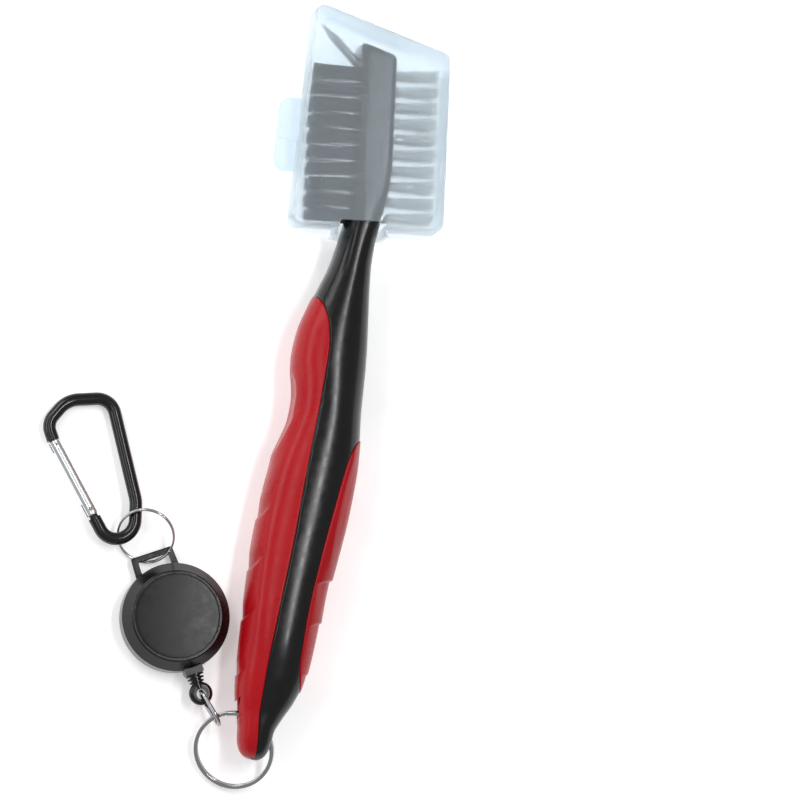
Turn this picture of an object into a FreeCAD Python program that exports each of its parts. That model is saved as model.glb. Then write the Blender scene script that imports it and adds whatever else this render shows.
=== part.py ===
"""Golf club groove brush: a two-sided brush head with a groove spike and a snap-on cover,
an overmoulded handle, and a retractable reel that hangs it from a carabiner.

The set lies flat. Row frame in millimetres: +Z up from the surface it lies on, +Y along the
brush head towards its tip, +X towards the wire bristles, origin under the head's centre.
"""
import FreeCAD
import Part
import math
import os

Vec = FreeCAD.Vector
X_AXIS, Y_AXIS, Z_AXIS = Vec(1, 0, 0), Vec(0, 1, 0), Vec(0, 0, 1)
ORIGIN = Vec(0, 0, 0)

# ---- driving dimensions -------------------------------------------------------------------
MID_Z = 12.5                  # height of the brush's middle plane: half of the cover's depth

# brush head
HEAD_HALF = 5.4               # from the middle to each bristle face
HEAD_DEPTH = 17.0
HEAD_TOP_LEFT = 27.9          # the end face falls towards the wire side
HEAD_TOP_RIGHT = 24.2
HEAD_EDGE_R = 1.2

# bristles
TUFT_ROWS = 10
TUFT_PITCH = 4.72
TUFT_FIRST_Y = 19.4
TUFT_COLUMNS = (-5.0, 0.0, 5.0)
TUFT_HOLE_DEPTH = 4.3
NYLON_TUFT_R = 1.7
NYLON_LENGTH = 14.0           # from the head's face to the tips
WIRE_TUFT_R = 1.15
WIRE_TIP_R = 1.9
WIRE_LENGTH = 13.0
ANCHOR = (2.6, 0.5)           # staple: width along the head, thickness

# groove spike
SPIKE_R = 1.3
SPIKE_ROOT = Vec(-3.4, 20.4, MID_Z)
SPIKE_LENGTH = 18.6
SPIKE_CONE = 5.4

# handle
HANDLE_LEAN = 6.3             # degrees between the handle and the head
HANDLE_TAIL = Vec(-27.1, -185.4, MID_Z)
GRIP_SKIN = 2.4               # rubber over the core
TAIL_HOLE = Vec(-1.1, 11.5, -0.6)   # middle of the flared ring hole, in the handle's own frame
TAIL_HOLE_TURN = -27.4        # degrees from straight across the tail
TAIL_HOLE_R = 1.75            # at the throat
TAIL_HOLE_REACH = (-7.4, 9.2)  # from the middle to each mouth

# cover
COVER_WALL = 1.1
COVER_DEPTH = 2 * MID_Z
COVER_CORNER_R = 2.4
COVER_BOTTOM = -27.4
COVER_RIGHT = 20.6
HINGE_X = COVER_RIGHT + 0.45
HINGE_Y = (-21.0, 20.0)
TAB_LENGTH = 22.0
TAB_WIDTH = 6.2
TAB_THICK = 1.4

# reel
REEL_CENTRE = Vec(-51.5, -144.1, 0)
REEL_LEAN = 21.5              # degrees its axis leans from +Y towards -X
REEL_R = 16.0
REEL_DEPTH = 11.0
REEL_WALL = 1.2
REEL_PARTING = 5.5            # height at which the case's halves meet
REEL_TOP_R = 13.4
REEL_DISC_R = 12.5
REEL_DISC_Z = 10.6
SPOOL_FLANGE_R = 13.4
DRUM_R = 11.0
CORD_R = 0.4
LEAD_START = 13.7             # from the reel's centre, just off the wound turns
CORD_Z = 5.5                  # height of the cord's way out of the reel
EYELET_R = 3.5
EYELET_HOLE_R = 1.5
EYELET_HALF = 1.35
EYELET_DISTANCE = 23.6        # from the reel's centre
LUG_BAR_Y = (18.75, 20.6)     # the bar's edges, from the reel's centre
LUG_Z = (1.6, 3.1)
LUG_WIDTH = 14.0

# rings and links
KEY_RING_R = 11.3             # to the middle of the wire
KEY_RING_SECTION = (1.3, 2.2)
KEY_RING_TILT = 27.5
LINK_WIRE_R = 0.55
LINK_INSET = 2.4              # from the ring's wire to the link's bend inside it
LINK_SEAT = 0.35              # from the eyelet's centre to the wire in its hole
LINK_LIFT = 0.7               # the link's end hangs a little above the ring's wire
LINK_ANGLE = 156.0            # place on the ring, from its crossing direction
LINK_HALF_WIDTH = 3.2
SMALL_RING_R = 8.3
SMALL_RING_WIRE_R = 0.6

# carabiner
ROD_R = 1.9
SPINE_FOOT = Vec(-64.5, -110.3, 0)
CARABINER_LEAN = 15.6
GATE_R = 1.8
GATE_BORE_R = 1.05
TONGUE_HALF = 0.7             # half thickness of the rod's flattened ends


# ---- helpers ------------------------------------------------------------------------------
def placed(shape, origin=ORIGIN, turn=0.0):
    """A copy turned about Z by turn degrees, then moved to origin."""
    moved = shape.copy()
    moved.rotate(ORIGIN, Z_AXIS, turn)
    moved.translate(origin)
    return moved


def solid_of(shape):
    """The single solid of a boolean's result."""
    solids = shape.Solids
    return solids[0] if len(solids) == 1 else max(solids, key=lambda s: s.Volume)


def prism(points, low, high):
    """Polygon in XY, extruded from low to high."""
    wire = Part.makePolygon([Vec(x, y, low) for x, y in points + points[:1]])
    return Part.Face(wire).extrude(Vec(0, 0, high - low))


def rounded_prism(points, low, high, radius):
    """Prism whose upright edges are rounded."""
    block = prism(points, low, high)
    upright = [e for e in block.Edges if abs(e.BoundBox.ZLength - (high - low)) < 1e-6]
    return block.makeFillet(radius, upright)


def box(x, y, z):
    """Box from (low, high) pairs."""
    return Part.makeBox(x[1] - x[0], y[1] - y[0], z[1] - z[0], Vec(x[0], y[0], z[0]))


def rod(start, end, radius):
    """Cylinder between two points."""
    return Part.makeCylinder(radius, (end - start).Length, start, end - start)


def spline_wall(points, low, high, side):
    """Region on one side of a smooth curve in XY, as an upright solid."""
    curve = Part.BSplineCurve()
    curve.interpolate([Vec(x, y, low) for x, y in points])
    first, last = points[0], points[-1]
    corners = [Vec(*last, low), Vec(side, last[1], low), Vec(side, first[1], low), Vec(*first, low)]
    edges = [curve.toShape()]
    edges += [Part.LineSegment(a, b).toShape() for a, b in zip(corners, corners[1:])]
    return Part.Face(Part.Wire(edges)).extrude(Vec(0, 0, high - low))


def export(name, shapes):
    """One STEP file for a node; shapes is a solid or a list of solids."""
    shapes = shapes if isinstance(shapes, list) else [shapes]
    shape = shapes[0] if len(shapes) == 1 else Part.makeCompound(shapes)
    for solid in shape.Solids:
        if not solid.isValid() or solid.Volume <= 0:
            print("WARNING: bad solid in", name)
    shape.exportStep(os.path.join("parts", name + ".step"))
    box_ = shape.BoundBox
    print(f"{name:20s} solids {len(shape.Solids):3d}  x {box_.XMin:7.1f} {box_.XMax:7.1f}"
          f"  y {box_.YMin:7.1f} {box_.YMax:7.1f}  z {box_.ZMin:6.2f} {box_.ZMax:6.2f}")


# ---- handle -------------------------------------------------------------------------------
# distance from the tail, left edge, right edge, half thickness
HANDLE_STATIONS = [
    (0.0, -1.7, 0.9, 1.4), (0.8, -3.3, 2.2, 3.3), (2.4, -4.7, 3.3, 5.0), (5.0, -5.6, 4.1, 6.2),
    (9.0, -6.1, 4.6, 6.9), (13.0, -7.0, 6.2, 7.4), (18.0, -8.3, 8.7, 8.4), (25.0, -9.1, 11.0, 9.8),
    (35.0, -9.6, 12.4, 11.2), (48.0, -10.1, 13.5, 12.1), (62.0, -10.4, 15.1, 12.45),
    (76.0, -9.7, 16.4, 12.5), (88.0, -8.3, 16.8, 12.4), (98.0, -6.2, 16.3, 12.15),
    (105.0, -5.2, 15.6, 11.9), (112.0, -5.8, 15.2, 11.6), (120.0, -7.2, 14.8, 11.1),
    (127.0, -6.7, 14.2, 10.5), (134.0, -5.0, 13.4, 9.8), (141.0, -2.7, 12.6, 9.1),
    (148.0, -0.5, 11.9, 8.5), (155.0, 1.0, 11.7, 8.2), (161.0, 1.6, 12.1, 8.1),
]
PALM_EDGE = [(0.2, -3.0), (-0.2, 4.0), (-1.2, 14.0), (-1.3, 26.0), (-0.7, 42.0), (0.5, 65.0), (1.2, 88.0),
             (2.1, 108.0), (2.3, 122.0), (1.2, 130.0), (-1.2, 135.6), (-5.6, 140.0)]
FINGER_EDGE = [(13.0, 17.5), (9.4, 23.0), (7.7, 31.0), (7.6, 41.0), (8.8, 60.0), (10.6, 76.0), (12.4, 89.0),
               (14.3, 95.5), (18.4, 100.4)]
SECTION_POINTS = 20
SECTION_POWER = 2.25


def handle_section(y, left, right, half):
    """Closed section of the handle: two half superellipses that meet on the stripe's line."""
    crown = left + 0.52 * (right - left)
    points = []
    for i in range(SECTION_POINTS):
        angle = 2 * math.pi * i / SECTION_POINTS
        c, s = math.cos(angle), math.sin(angle)
        reach = right - crown if c >= 0 else crown - left
        x = crown + reach * math.copysign(abs(c) ** (2 / SECTION_POWER), c)
        z = half * math.copysign(abs(s) ** (2 / SECTION_POWER), s)
        points.append(Vec(x, y, z))
    curve = Part.BSplineCurve()
    curve.interpolate(points, PeriodicFlag=True)
    return Part.Wire(curve.toShape())


def handle_loft(stations):
    return Part.makeLoft([handle_section(*s) for s in stations], True, False)


def place_handle(shape):
    return placed(shape, HANDLE_TAIL, -HANDLE_LEAN)


def tail_hole():
    """Hole through the tail that flares as the key ring curves, so that the ring can swing in it."""
    low, high = TAIL_HOLE_REACH
    stops = [low, -4.6, -2.0, 2.0, 4.6, 7.0, high]
    outline = [Vec(t, TAIL_HOLE_R + KEY_RING_R - math.sqrt(KEY_RING_R ** 2 - t ** 2), 0) for t in stops]
    outline += [Vec(high, 0, 0), Vec(low, 0, 0), outline[0]]
    hole = Part.Face(Part.makePolygon(outline)).revolve(ORIGIN, X_AXIS, 360)
    if hole.Volume < 0:
        hole.reverse()
    return placed(hole, TAIL_HOLE, TAIL_HOLE_TURN)


def make_handle():
    """Core and the two rubber grips, in the row frame; the head is fused to the core later."""
    full = handle_loft(HANDLE_STATIONS)
    inner_stations = [
        (y, left + GRIP_SKIN, right - GRIP_SKIN, half - GRIP_SKIN * 0.85)
        for y, left, right, half in HANDLE_STATIONS if 5.0 <= y <= 148.0
    ]
    inner = handle_loft(inner_stations)
    palm_side = spline_wall(PALM_EDGE, -20, 20, -30).cut(inner)
    finger_side = spline_wall(FINGER_EDGE, -20, 20, 40).cut(inner)
    hole = tail_hole()
    palm = solid_of(full.common(palm_side).cut(hole))
    finger = solid_of(full.common(finger_side))
    core = solid_of(full.cut(palm_side).cut(finger_side).cut(hole))
    return place_handle(core), place_handle(palm), place_handle(finger)


# ---- brush head ---------------------------------------------------------------------------
def head_block():
    """Flat-faced block that the bristles stand in, narrowing into the neck on the wire side."""
    low, high = MID_Z - HEAD_DEPTH / 2, MID_Z + HEAD_DEPTH / 2
    x = HEAD_HALF
    edges = [
        Part.LineSegment(Vec(-x, -37, low), Vec(-x, HEAD_TOP_LEFT, low)),
        Part.LineSegment(Vec(-x, HEAD_TOP_LEFT, low), Vec(x, HEAD_TOP_RIGHT, low)),
        Part.LineSegment(Vec(x, HEAD_TOP_RIGHT, low), Vec(x, -6.5, low)),
        Part.Arc(Vec(x, -6.5, low), Vec(3.9, -20.5, low), Vec(-0.5, -33, low)),
        Part.LineSegment(Vec(-0.5, -33, low), Vec(-x, -37, low)),
    ]
    wire = Part.Wire([e.toShape() for e in edges])
    block = Part.Face(wire).extrude(Vec(0, 0, HEAD_DEPTH))
    corners = [e for e in block.Edges if abs(e.BoundBox.ZLength - HEAD_DEPTH) < 1e-6
               and e.BoundBox.YMin > 20]
    block = block.makeFillet(1.6, corners)
    rims = [e for e in block.Edges if e.BoundBox.ZLength < 1e-6 and e.BoundBox.YMax > -20]
    block = block.makeFillet(HEAD_EDGE_R, rims)
    # both flat faces sink into the round neck
    for side in (-1, 1):
        wedge = box((-20, 20), (-30, 0), (0, 12))
        wedge.rotate(ORIGIN, X_AXIS, 9.0)
        if side < 0:
            wedge = wedge.mirror(ORIGIN, Z_AXIS)
        wedge.translate(Vec(0, -25, MID_Z + side * HEAD_DEPTH / 2))
        block = block.cut(wedge)
    return block


def tuft_places(skip_first_middle):
    """(y, z) of each tuft."""
    return [
        (TUFT_FIRST_Y - row * TUFT_PITCH, MID_Z + column)
        for row in range(TUFT_ROWS) for column in TUFT_COLUMNS
        if not (skip_first_middle and row == 0 and column == 0)
    ]


def make_tufts(side, radius, tip_radius, length, places):
    """Tufts, their staples and the holes for both, on the -X or +X face."""
    root = side * (HEAD_HALF - TUFT_HOLE_DEPTH)
    face = side * HEAD_HALF
    along = Vec(side, 0, 0)
    width, thick = ANCHOR
    tufts, anchors, holes = [], [], []
    for y, z in places:
        sunk = Part.makeCylinder(radius, TUFT_HOLE_DEPTH, Vec(root, y, z), along)
        if tip_radius > radius:
            free = Part.makeCone(radius, tip_radius, length, Vec(face, y, z), along)
        else:
            free = Part.makeCylinder(radius, length, Vec(face, y, z), along)
        staple = box((min(root, root + side * 2.2), max(root, root + side * 2.2)),
                     (y - width / 2, y + width / 2), (z - thick / 2, z + thick / 2))
        tufts.append(solid_of(sunk.fuse(free).cut(staple)))
        anchors.append(staple)
        holes.append(sunk)
    return tufts, anchors, holes


def make_spike():
    """Steel groove spike, set at 45 degrees in the head's nylon-side corner."""
    along = Vec(-1, 1, 0).normalize()
    shank = SPIKE_LENGTH - SPIKE_CONE
    straight = Part.makeCylinder(SPIKE_R, shank, SPIKE_ROOT, along)
    cone = Part.makeCone(SPIKE_R, 0.2, SPIKE_CONE, SPIKE_ROOT + along * shank, along)
    return solid_of(straight.fuse(cone)), straight


# ---- cover --------------------------------------------------------------------------------
COVER_OUTLINE = [(-19.0, 38.6), (COVER_RIGHT, 25.2), (COVER_RIGHT, COVER_BOTTOM),
                 (-24.6, COVER_BOTTOM), (-20.2, 35.2)]
NECK_HOLE = (-10.3, 3.9)      # across the neck
NECK_NOTCH = 1.9              # how far the opening runs up the front


def inset(points, distance):
    """Convex outline, listed clockwise, moved inwards by distance."""
    sides = []
    for (ax, ay), (bx, by) in zip(points, points[1:] + points[:1]):
        run = math.hypot(bx - ax, by - ay)
        nx, ny = (by - ay) / run, -(bx - ax) / run
        sides.append((nx, ny, nx * ax + ny * ay + distance))
    corners = []
    for (a, b, c), (d, e, f) in zip(sides[-1:] + sides[:-1], sides):
        det = a * e - b * d
        corners.append(((c * e - b * f) / det, (a * f - c * d) / det))
    return corners


def neck_opening(grow):
    """Rounded opening round the neck, grown by grow on each side."""
    x0, x1 = NECK_HOLE[0] - grow, NECK_HOLE[1] + grow
    half = HEAD_DEPTH / 2 + 0.9 + grow
    hole = box((x0, x1), (-40, -20), (MID_Z - half, MID_Z + half))
    edges = [e for e in hole.Edges if abs(e.BoundBox.YLength - 20) < 1e-6]
    return hole.makeFillet(4.0 + grow, edges)


def shell_body():
    """Both halves as one closed box with the hollow, before it is parted."""
    outer = rounded_prism(COVER_OUTLINE, 0, COVER_DEPTH, COVER_CORNER_R)
    rims = [e for e in outer.Edges if e.BoundBox.ZLength < 1e-6]
    outer = outer.makeFillet(1.0, rims)
    hollow = rounded_prism(inset(COVER_OUTLINE, COVER_WALL), COVER_WALL, COVER_DEPTH - COVER_WALL,
                           COVER_CORNER_R - COVER_WALL)
    collar = neck_opening(COVER_WALL).common(box((-20, 20), (COVER_BOTTOM - 2.0, COVER_BOTTOM + 0.4),
                                                 (-5, 30)))
    return outer.fuse(collar).cut(hollow).cut(neck_opening(0))


def pull_tab(low, high):
    """Finger tab on the cover's left wall, parallel to that wall."""
    (x0, y0), (x1, y1) = COVER_OUTLINE[3], COVER_OUTLINE[4]
    lean = math.degrees(math.atan2(x0 - x1, y1 - y0))
    half = TAB_LENGTH / 2
    tab = box((-TAB_WIDTH, 0.6), (-half, half), (low, high))
    corners = [e for e in tab.Edges if abs(e.BoundBox.ZLength - (high - low)) < 1e-6
               and e.BoundBox.XMax < -1]
    tab = tab.makeFillet(3.2, corners)
    share = (0 - y0) / (y1 - y0)
    return placed(tab, Vec(x0 + share * (x1 - x0), 0, 0), lean), lean


def make_cover():
    """Back shell, front shell and the flexible web between them."""
    whole = shell_body()
    back = whole.common(box((-40, 40), (-40, 50), (-5, MID_Z)))
    front = whole.common(box((-40, 40), (-40, 50), (MID_Z, 40)))
    keep_out = rounded_prism(inset(COVER_OUTLINE, COVER_WALL), 0, COVER_DEPTH,
                             COVER_CORNER_R - COVER_WALL)
    back_tab = pull_tab(MID_Z - TAB_THICK, MID_Z)[0]
    front_tab, lean = pull_tab(MID_Z, MID_Z + TAB_THICK)
    rib = placed(box((-TAB_WIDTH, 0.6), (-1.5, 1.5), (MID_Z, MID_Z + 2.6)), Vec(-22.5, 0, 0), lean)
    back = back.fuse(back_tab.cut(keep_out))
    front = front.multiFuse([front_tab.cut(keep_out), rib.cut(keep_out)])
    # rim lip of the front shell steps inside the back shell
    lip_out = rounded_prism(inset(COVER_OUTLINE, COVER_WALL + 0.15), MID_Z - 1.6, MID_Z + 1.0, 1.0)
    lip_in = rounded_prism(inset(COVER_OUTLINE, COVER_WALL + 0.75), MID_Z - 2, MID_Z + 2, 0.6)
    clear = [neck_opening(0.6), box((10, 30), (-40, 50), (0, 25)), box((-40, -16), (-40, 50), (0, 25))]
    lip = lip_out.cut([lip_in] + clear)
    bridge = rounded_prism(inset(COVER_OUTLINE, COVER_WALL - 0.4), MID_Z + 0.2, MID_Z + 1.0, 1.2)
    bridge = bridge.cut([lip_in] + clear)
    front = front.multiFuse([lip, bridge])
    # gate marks of the moulding, two shallow rings on the front
    for x, y in ((-18.2, -14.8), (-14.6, 32.2)):
        ring = Part.makeCylinder(2.4, 0.35, Vec(x, y, COVER_DEPTH - 0.05), Z_AXIS)
        ring = ring.cut(Part.makeCylinder(1.9, 1.0, Vec(x, y, COVER_DEPTH - 0.4), Z_AXIS))
        front = front.fuse(ring)
    # the neck's opening is open to the front
    notch = rounded_prism([(NECK_HOLE[0], COVER_BOTTOM - 4), (NECK_HOLE[1], COVER_BOTTOM - 4),
                           (NECK_HOLE[1], COVER_BOTTOM + NECK_NOTCH), (NECK_HOLE[0], COVER_BOTTOM + NECK_NOTCH)],
                          MID_Z - 3, COVER_DEPTH + 1, 1.2)
    front = front.cut(notch)
    web = box((COVER_RIGHT, HINGE_X + 0.3), HINGE_Y, (MID_Z - 2.0, MID_Z + 2.0))
    web = web.cut(box((COVER_RIGHT - 1, HINGE_X - 0.2), (-40, 40), (MID_Z - 0.7, MID_Z + 0.7)))
    return solid_of(back), solid_of(front), solid_of(web)


# ---- key ring and link --------------------------------------------------------------------
def handle_point(x, y, z=0.0):
    """Row frame place of a point in the handle's own frame."""
    point = placed(Part.Vertex(x, y, z), HANDLE_TAIL, -HANDLE_LEAN).Point
    return Vec(point.x, point.y, point.z)


def flat_ring(radius, wide, tall):
    """Ring about Z with a rounded oblong section."""
    inner = Part.makeCylinder(radius - wide / 2, tall + 2, Vec(0, 0, -tall / 2 - 1))
    ring = Part.makeCylinder(radius + wide / 2, tall, Vec(0, 0, -tall / 2)).cut(inner)
    rims = [e for e in ring.Edges if e.BoundBox.ZLength < 1e-6]
    return ring.makeFillet(0.42, rims)


def tilted(shape, turn, tilt, centre):
    """Tilts a shape about the in-plane axis that stands turn degrees from +X."""
    moved = shape.copy()
    axis = Vec(math.cos(math.radians(turn)), math.sin(math.radians(turn)), 0)
    moved.rotate(ORIGIN, axis, tilt)
    moved.translate(centre)
    return moved


def stadium_loop(half_length, half_width, wire_r):
    """Closed wire loop in the YZ plane: two half circles and two straights along Y."""
    straight = half_length - half_width
    bends = []
    for side in (-1, 1):
        torus = Part.makeTorus(half_width, wire_r, ORIGIN, X_AXIS)
        keep = box((-5, 5), (0, 12) if side > 0 else (-12, 0), (-12, 12))
        bend = torus.common(keep)
        bend.translate(Vec(0, side * straight, 0))
        bends.append(bend)
    sides = [rod(Vec(0, -straight, z), Vec(0, straight, z), wire_r) for z in (-half_width, half_width)]
    return solid_of(bends[0].multiFuse(bends[1:] + sides))


KEY_RING_TURN = TAIL_HOLE_TURN - HANDLE_LEAN   # direction of the ring's wire in the tail's hole


def key_ring_centre():
    """Ring centre: its wire passes the middle of the tail's hole and its far side rests below."""
    crossing = handle_point(TAIL_HOLE.x, TAIL_HOLE.y)
    turn, tilt = math.radians(KEY_RING_TURN), math.radians(KEY_RING_TILT)
    reach = KEY_RING_R * math.cos(tilt)
    low = Vec(math.sin(turn) * reach, -math.cos(turn) * reach, 0)
    return Vec(crossing.x + low.x, crossing.y + low.y, MID_Z + TAIL_HOLE.z - KEY_RING_R * math.sin(tilt))


def ring_point(centre, turn, tilt, radius, angle):
    """Point on a tilted ring; angle runs from the in-plane axis at turn."""
    t, k, a = math.radians(turn), math.radians(tilt), math.radians(angle)
    along = Vec(math.cos(t), math.sin(t), 0)
    across = Vec(-math.sin(t) * math.cos(k), math.cos(t) * math.cos(k), math.sin(k))
    return centre + along * (radius * math.cos(a)) + across * (radius * math.sin(a))


# ---- reel ---------------------------------------------------------------------------------
def place_reel(shape):
    return placed(shape, REEL_CENTRE, REEL_LEAN)


def cord_way():
    """Hole for the cord, half of it in each half of the case."""
    return Part.makeCylinder(0.75, 12, Vec(0, -REEL_R + 4, CORD_Z), Vec(0, -1, 0))


def reel_back_case():
    """Back half with floor, rim, spindle, exit spout and the lug for the small ring."""
    floor = Part.makeCylinder(REEL_R, REEL_PARTING)
    floor = floor.makeFillet(1.2, [e for e in floor.Edges if e.BoundBox.ZMax < 1e-6])
    case = floor.cut(Part.makeCylinder(REEL_R - REEL_WALL, 10, Vec(0, 0, REEL_WALL)))
    case = case.fuse(Part.makeCylinder(1.9, 6.6, Vec(0, 0, 0.6)))
    spout = box((-2.8, 2.8), (-REEL_R - 1.5, -REEL_R + 1.2), (CORD_Z - 2.4, REEL_PARTING))
    case = case.fuse(spout)
    case = case.cut(cord_way())
    case = case.fuse(Part.makeCylinder(3.4, 1.3, Vec(0, 0, 1.0)))
    slot_in_spindle = box((-3, 3), (-0.25, 0.25), (3.2, 8))
    return solid_of(case.cut(slot_in_spindle))


def reel_lug():
    """Rectangular eye on the reel's upper edge, of the same moulding as the back case."""
    half = LUG_WIDTH / 2
    inner, outer = LUG_BAR_Y
    lug = rounded_prism([(-half, 10.0), (-half + 0.6, outer), (half - 0.6, outer), (half, 10.0)], *LUG_Z, 0.5)
    eye = prism([(-half + 2.2, 10.0), (-half + 2.3, inner), (half - 2.3, inner), (half - 2.2, 10.0)], 0, 8)
    eye = eye.cut(Part.makeCylinder(REEL_R - 0.2, 12, Vec(0, 0, -1)))
    lug = lug.cut(eye).cut(Part.makeCylinder(REEL_R - REEL_WALL, 12, Vec(0, 0, -1)))
    bar_edges = [e for e in lug.Edges if e.BoundBox.YLength < 0.02 and e.BoundBox.XLength > 6
                 and e.BoundBox.YMin > 18]
    return lug.makeFillet(0.35, bar_edges)


def reel_front_case():
    """Front half: a low rim and a dome with a seat for the face disc."""
    rim = Part.makeCylinder(REEL_R, 1.9, Vec(0, 0, REEL_PARTING))
    dome = Part.makeCone(REEL_R, REEL_TOP_R, REEL_DEPTH - 7.4, Vec(0, 0, 7.4))
    dome = dome.makeFillet(0.6, [e for e in dome.Edges if e.BoundBox.ZMin > REEL_DEPTH - 0.1])
    spout = box((-2.8, 2.8), (-REEL_R - 1.5, -REEL_R + 1.2), (REEL_PARTING, CORD_Z + 2.4))
    case = rim.multiFuse([dome, spout]).cut(cord_way())
    hollow = Part.makeCylinder(REEL_R - REEL_WALL, 1.7, Vec(0, 0, 5.4))
    hollow = hollow.fuse(Part.makeCylinder(12.2, 2.7, Vec(0, 0, 7.0)))
    case = case.cut(hollow)
    case = case.cut(Part.makeCylinder(REEL_DISC_R + 0.1, 1.0, Vec(0, 0, REEL_DISC_Z)))
    case = case.fuse(Part.makeCylinder(3.0, 2.6, Vec(0, 0, 7.3)).cut(
        Part.makeCylinder(1.95, 3.4, Vec(0, 0, 4.0))))
    return solid_of(case)


def reel_face_disc():
    """Satin disc set into the dome's top."""
    disc = Part.makeCylinder(REEL_DISC_R, 0.45, Vec(0, 0, REEL_DISC_Z))
    return disc.makeFillet(0.2, [e for e in disc.Edges if e.BoundBox.ZMin > REEL_DISC_Z + 0.4])


def spool_drum():
    """Drum with two flanges; the power spring lies in its hollow."""
    drum = Part.makeCylinder(DRUM_R, 3.9, Vec(0, 0, 2.6))
    flanges = [Part.makeCylinder(SPOOL_FLANGE_R, 0.5, Vec(0, 0, z)) for z in (2.4, 6.3)]
    spool = drum.multiFuse(flanges)
    spool = spool.cut(Part.makeCylinder(DRUM_R - 1.0, 6, Vec(0, 0, 3.1)))
    return solid_of(spool.cut(Part.makeCylinder(1.95, 8, Vec(0, 0, 0))))


def wound_cord():
    """The cord's turns on the drum, as one closed band."""
    band = Part.makeCylinder(13.0, 3.2, Vec(0, 0, 3.0)).cut(
        Part.makeCylinder(DRUM_R, 6, Vec(0, 0, 2)))
    return band.makeFillet(0.8, [e for e in band.Edges if abs(e.Length - 2 * math.pi * 13.0) < 0.1])


def half_turns(first, step, count, offset, z):
    """Flat spiral of half circles about two alternating centres."""
    arcs = []
    for i in range(count):
        radius = first + i * step + offset
        middle, side = (0.0, 1) if i % 2 == 0 else (-step, -1)
        arcs.append(Part.Arc(Vec(middle - side * radius, 0, z), Vec(middle, side * radius, z),
                             Vec(middle + side * radius, 0, z)))
    return arcs


def power_spring():
    """Flat spiral spring, hooked in the spindle's slot and wound out to the drum's wall."""
    first, step, count = 2.35, 0.42, 17     # inner radius, its growth per half turn, half turns
    thick, low, wide = 0.2, 3.4, 2.6
    inside = half_turns(first, step, count, -thick / 2, low)
    outside = half_turns(first, step, count, thick / 2, low)
    edges = [arc.toShape() for arc in inside + outside]
    edges.append(Part.LineSegment(inside[0].StartPoint, outside[0].StartPoint).toShape())
    edges.append(Part.LineSegment(inside[-1].EndPoint, outside[-1].EndPoint).toShape())
    strip = Part.Face(Part.Wire(Part.sortEdges(edges)[0])).extrude(Vec(0, 0, wide))
    tail = box((-first - thick / 2, -0.5), (-thick / 2, thick / 2), (low, low + wide))
    return solid_of(strip.fuse(tail))


def cord_end():
    """Ribbed sleeve and round eyelet at the cord's end, one moulding."""
    y = -EYELET_DISTANCE
    eyelet = Part.makeCylinder(EYELET_R, 2 * EYELET_HALF, Vec(0, y, CORD_Z - EYELET_HALF))
    eyelet = eyelet.makeFillet(1.2, [e for e in eyelet.Edges if e.BoundBox.ZLength < 1e-6])
    top = -REEL_R - 1.6
    down = Vec(0, -1, 0)
    sleeve = Part.makeCone(1.7, 1.5, EYELET_DISTANCE - REEL_R - 3.0, Vec(0, top, CORD_Z), down)
    ribs = [Part.makeCylinder(r, 0.6, Vec(0, top - i * 1.05, CORD_Z), down)
            for i, r in enumerate((2.75, 2.5, 2.2))]
    ribs = [rib.makeFillet(0.18, rib.Edges[:1]) for rib in ribs]
    body = sleeve.multiFuse(ribs + [eyelet])
    body = body.cut(Part.makeCylinder(EYELET_HOLE_R, 10, Vec(0, y - 0.3, 0)))
    body = body.cut(Part.makeCylinder(CORD_R + 0.05, 4.4, Vec(0, top + 1, CORD_Z), down))
    return solid_of(body.cut(Part.makeSphere(0.85, Vec(0, top - 2.9, CORD_Z)))), top


# ---- small ring ---------------------------------------------------------------------------
SMALL_RING_TURN = -24.0       # it leans up towards 66 degrees: over the carabiner's spine,
SMALL_RING_TILT = 31.0        # under its bend and under the lug's left arm
SMALL_RING_Z = 4.95
SMALL_RING_REACH = 25.6       # from the reel's centre


def small_ring_centre():
    place = placed(Part.Vertex(-0.3, SMALL_RING_REACH, 0), REEL_CENTRE, REEL_LEAN).Point
    return Vec(place[0], place[1], SMALL_RING_Z)


# ---- carabiner ----------------------------------------------------------------------------
CARABINER_FOOT_Z = 4.82
CARABINER_PITCH = 4.7         # degrees: the foot rests on the small ring


def place_carabiner(shape):
    moved = shape.copy()
    moved.rotate(ORIGIN, X_AXIS, -CARABINER_PITCH)
    moved.rotate(ORIGIN, Z_AXIS, CARABINER_LEAN)
    moved.translate(SPINE_FOOT + Vec(0, 0, CARABINER_FOOT_Z))
    return moved


GATE_PIVOT = Vec(-13.9, 0.4, 0)
GATE_NOSE = Vec(-19.6, 22.6, 0)
# x, y and bend radius of the rod's corners, from the gate's nose round to its pivot
CARABINER_BENDS = [(-20.2, 28.4, 5.0), (-12.8, 33.8, 8.0), (0.1, 31.6, 5.2), (0, 0, 9.0),
                   (-3.0, -10.6, 6.0), (-11.4, -9.2, 5.0)]


def rounded_path(corners):
    """Wire of straights and tangent arcs; corners are (x, y, radius)."""
    points = [Vec(x, y, 0) for x, y, _ in corners]
    edges, start = [], points[0]
    for i in range(1, len(points) - 1):
        back = (points[i - 1] - points[i]).normalize()
        on = (points[i + 1] - points[i]).normalize()
        half = math.acos(max(-1, min(1, back.dot(on)))) / 2
        run = corners[i][2] / math.tan(half)
        a, b = points[i] + back * run, points[i] + on * run
        bisector = (back + on).normalize()
        middle = points[i] + bisector * (corners[i][2] / math.sin(half) - corners[i][2])
        if (a - start).Length > 1e-4:
            edges.append(Part.LineSegment(start, a).toShape())
        edges.append(Part.Arc(a, middle, b).toShape())
        start = b
    edges.append(Part.LineSegment(start, points[-1]).toShape())
    return Part.Wire(edges)


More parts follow.
